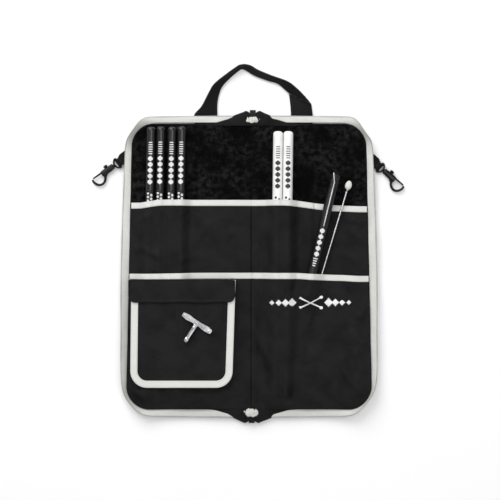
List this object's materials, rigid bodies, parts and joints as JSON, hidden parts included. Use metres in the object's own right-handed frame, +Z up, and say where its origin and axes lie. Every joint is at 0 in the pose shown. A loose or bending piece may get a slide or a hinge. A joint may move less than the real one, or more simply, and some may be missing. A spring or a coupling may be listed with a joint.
{
  "type": "drum stick bag",
  "caption": "Padded book-style stick bag lying open: pockets over a plush lining, zip rim, webbing handle, swivel snap hooks and the sticks and tools it carries.",
  "frame": {"origin": "centre of the spine's underside, where the open bag rests", "axes": "+X towards the right cover, +Y towards the handle, +Z up out of the open bag"},
  "size_m": [0.4719, 0.5537, 0.0346],
  "materials": {
    "nylon": "ballistic nylon weave, dark charcoal",
    "plush": "short plush, black",
    "foam": "closed-cell foam sheet, dark grey",
    "grey_binding": "woven tape, light warm grey",
    "zip_coil": "nylon coil, grey",
    "embroidery": "satin-stitch embroidery, white",
    "touch_tape": "touch-fastener tape, black",
    "webbing": "twill webbing, black",
    "black_metal": "black enamelled zip hardware",
    "gunmetal": "gunmetal plated, semi-gloss",
    "spring_steel": "spring wire",
    "dark_lacquer": "black gloss lacquer on hickory",
    "light_lacquer": "white gloss lacquer on hickory",
    "rubber_grip": "black rubber, satin",
    "steel_rod": "polished steel rod",
    "pale_felt": "hard felt, off-white",
    "chrome_key": "polished chrome plate"
  },
  "bodies": {
    "spine": {"gusset_end_bottom": "nylon", "gusset_end_top": "nylon", "handle_loop": "webbing", "spine_lining": "plush", "spine_outer_panel": "nylon", "zip_slider_bottom": "black_metal", "zip_slider_top": "black_metal", "zip_tab_bottom": "grey_binding", "zip_tab_top": "grey_binding"},
    "left_cover": {"accessory_pocket": "nylon", "accessory_pocket_border": "grey_binding", "left_foam": "foam", "left_gusset": "nylon", "left_handle_foot": "webbing", "left_hook_tab": "webbing", "left_lining": "plush", "left_long_pocket": "nylon", "left_long_pocket_trim": "grey_binding", "left_outer_panel": "nylon", "left_short_pocket": "nylon", "left_short_pocket_trim": "grey_binding", "left_zip_coil": "zip_coil", "left_zip_tape": "grey_binding", "pocket_loop_tape": "touch_tape"},
    "right_cover": {"right_foam": "foam", "right_gusset": "nylon", "right_handle_foot": "webbing", "right_hook_tab": "webbing", "right_lining": "plush", "right_long_pocket": "nylon", "right_long_pocket_trim": "grey_binding", "right_motif": "embroidery", "right_outer_panel": "nylon", "right_short_pocket": "nylon", "right_short_pocket_trim": "grey_binding", "right_zip_coil": "zip_coil", "right_zip_tape": "grey_binding"},
    "accessory_flap": {"accessory_flap": "nylon", "flap_hook_tape": "touch_tape"},
    "left_hook_eye": {"left_hook_eye": "gunmetal"},
    "right_hook_eye": {"right_hook_eye": "gunmetal"},
    "left_hook": {"left_hook_body": "gunmetal", "left_hook_spring": "spring_steel"},
    "right_hook": {"right_hook_body": "gunmetal", "right_hook_spring": "spring_steel"},
    "left_bolt": {"left_hook_bolt": "gunmetal"},
    "right_bolt": {"right_hook_bolt": "gunmetal"},
    "zip_pull_top": {"zip_pull_top": "black_metal"},
    "zip_pull_bottom": {"zip_pull_bottom": "black_metal"},
    "dark_stick_1": {"dark_stick_1": "dark_lacquer"},
    "dark_stick_2": {"dark_stick_2": "dark_lacquer"},
    "dark_stick_3": {"dark_stick_3": "dark_lacquer"},
    "dark_stick_4": {"dark_stick_4": "dark_lacquer"},
    "light_stick_1": {"light_stick_1": "light_lacquer"},
    "light_stick_2": {"light_stick_2": "light_lacquer"},
    "brush": {"brush_handle": "rubber_grip"},
    "brush_pull_rod": {"brush_pull_rod": "steel_rod"},
    "beater": {"beater_rod": "steel_rod", "beater_head": "pale_felt"},
    "drum_key": {"drum_key": "chrome_key"}
  },
  "joints": [
    {"name": "left_cover_fold", "type": "hinge", "parent": "spine", "child": "left_cover", "pos_m": [-0.023, 0, 0.009], "axis": [0, 1, 0], "range_deg": [0, 90]},
    {"name": "right_cover_fold", "type": "hinge", "parent": "spine", "child": "right_cover", "pos_m": [0.023, 0, 0.009], "axis": [0, -1, 0], "range_deg": [0, 90]},
    {"name": "flap_lift", "type": "hinge", "parent": "left_cover", "child": "accessory_flap", "pos_m": [-0.104, -0.0204, 0.03015], "axis": [1, 0, 0], "range_deg": [-150, 0]},
    {"name": "left_hook_swing", "type": "hinge", "parent": "left_cover", "child": "left_hook_eye", "pos_m": [-0.19959, 0.15868, 0.0043], "axis": [0.6018, -0.7986, 0], "range_deg": [-60, 0]},
    {"name": "left_hook_swivel", "type": "hinge", "parent": "left_hook_eye", "child": "left_hook", "pos_m": [-0.19959, 0.15868, 0.0043], "axis": [-0.7986, -0.6018, 0], "continuous": true},
    {"name": "left_bolt_pull", "type": "slide", "parent": "left_hook", "child": "left_bolt", "axis": [0.7986, 0.6018, 0], "range_m": [0, 0.0065], "stiffness_N_per_m": 300, "springref_m": -0.002, "deforming": ["left_hook_spring"]},
    {"name": "right_hook_swing", "type": "hinge", "parent": "right_cover", "child": "right_hook_eye", "pos_m": [0.19934, 0.15215, 0.0043], "axis": [0.6691, 0.7431, 0], "range_deg": [-60, 0]},
    {"name": "right_hook_swivel", "type": "hinge", "parent": "right_hook_eye", "child": "right_hook", "pos_m": [0.19934, 0.15215, 0.0043], "axis": [0.7431, -0.6691, 0], "continuous": true},
    {"name": "right_bolt_pull", "type": "slide", "parent": "right_hook", "child": "right_bolt", "axis": [-0.7431, 0.6691, 0], "range_m": [0, 0.0065], "stiffness_N_per_m": 300, "springref_m": -0.002, "deforming": ["right_hook_spring"]},
    {"name": "zip_pull_top_swing", "type": "hinge", "parent": "spine", "child": "zip_pull_top", "pos_m": [0.0058, 0.234, 0.0021], "axis": [1, 0, 0], "range_deg": [0, 170]},
    {"name": "zip_pull_bottom_swing", "type": "hinge", "parent": "spine", "child": "zip_pull_bottom", "pos_m": [0.004, -0.234, 0.0021], "axis": [-1, 0, 0], "range_deg": [0, 170]},
    {"name": "dark_stick_1_slide", "type": "slide", "parent": "left_cover", "child": "dark_stick_1", "axis": [-0.0192, -0.9998, 0], "range_m": [-0.3, 0]},
    {"name": "dark_stick_2_slide", "type": "slide", "parent": "left_cover", "child": "dark_stick_2", "axis": [-0.0192, -0.9998, 0], "range_m": [-0.3, 0]},
    {"name": "dark_stick_3_slide", "type": "slide", "parent": "left_cover", "child": "dark_stick_3", "axis": [-0.0192, -0.9998, 0], "range_m": [-0.3, 0]},
    {"name": "dark_stick_4_slide", "type": "slide", "parent": "left_cover", "child": "dark_stick_4", "axis": [-0.0192, -0.9998, 0], "range_m": [-0.3, 0]},
    {"name": "light_stick_1_slide", "type": "slide", "parent": "right_cover", "child": "light_stick_1", "axis": [-0.0122, -0.9999, 0], "range_m": [-0.3, 0]},
    {"name": "light_stick_2_slide", "type": "slide", "parent": "right_cover", "child": "light_stick_2", "axis": [-0.0122, -0.9999, 0], "range_m": [-0.3, 0]},
    {"name": "brush_slide", "type": "slide", "parent": "right_cover", "child": "brush", "axis": [-0.2385, -0.9711, 0], "range_m": [-0.05, 0]},
    {"name": "brush_rod_slide", "type": "slide", "parent": "brush", "child": "brush_pull_rod", "axis": [-0.2385, -0.9711, 0], "range_m": [-0.05, 0]},
    {"name": "beater_slide", "type": "slide", "parent": "right_cover", "child": "beater", "axis": [-0.2874, -0.9578, 0], "range_m": [-0.12, 0]},
    {"name": "key_lift", "type": "slide", "parent": "left_cover", "child": "drum_key", "axis": [0, 0, -1], "range_m": [-0.04, 0]}
  ]
}
